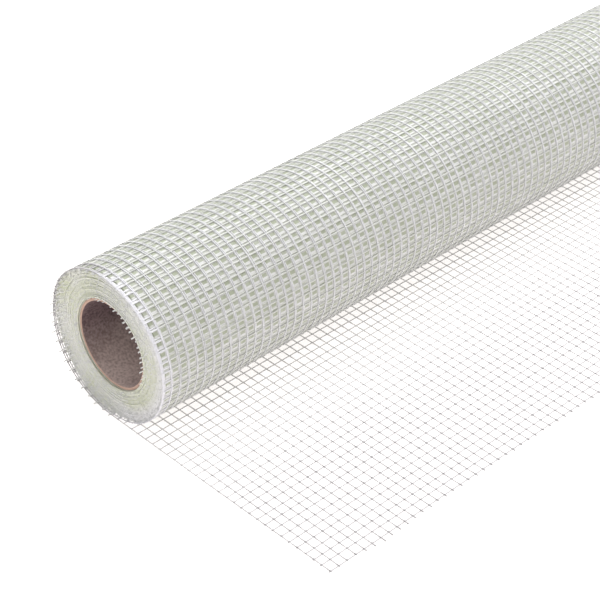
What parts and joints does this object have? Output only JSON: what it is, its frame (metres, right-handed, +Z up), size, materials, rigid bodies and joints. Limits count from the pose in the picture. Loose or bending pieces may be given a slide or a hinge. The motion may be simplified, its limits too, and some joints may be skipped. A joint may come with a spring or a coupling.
{
  "type": "roll of fiberglass mesh",
  "caption": "Open-mesh glass fibre fabric wound on a cardboard core, lying on its side with a short free end unrolled flat on the floor.",
  "frame": {"origin": "on the floor, under the roll's axis, half way along the outer turn", "axes": "+X along the roll's axis, +Z up, and the free end lies towards -Y"},
  "size_m": [1.0035, 0.1862, 0.0779],
  "materials": {
    "cardboard": "matte",
    "coated_glass_mesh": "satin"
  },
  "bodies": {
    "root": {"core_tube": "cardboard", "mesh_web": "coated_glass_mesh"}
  },
  "joints": []
}
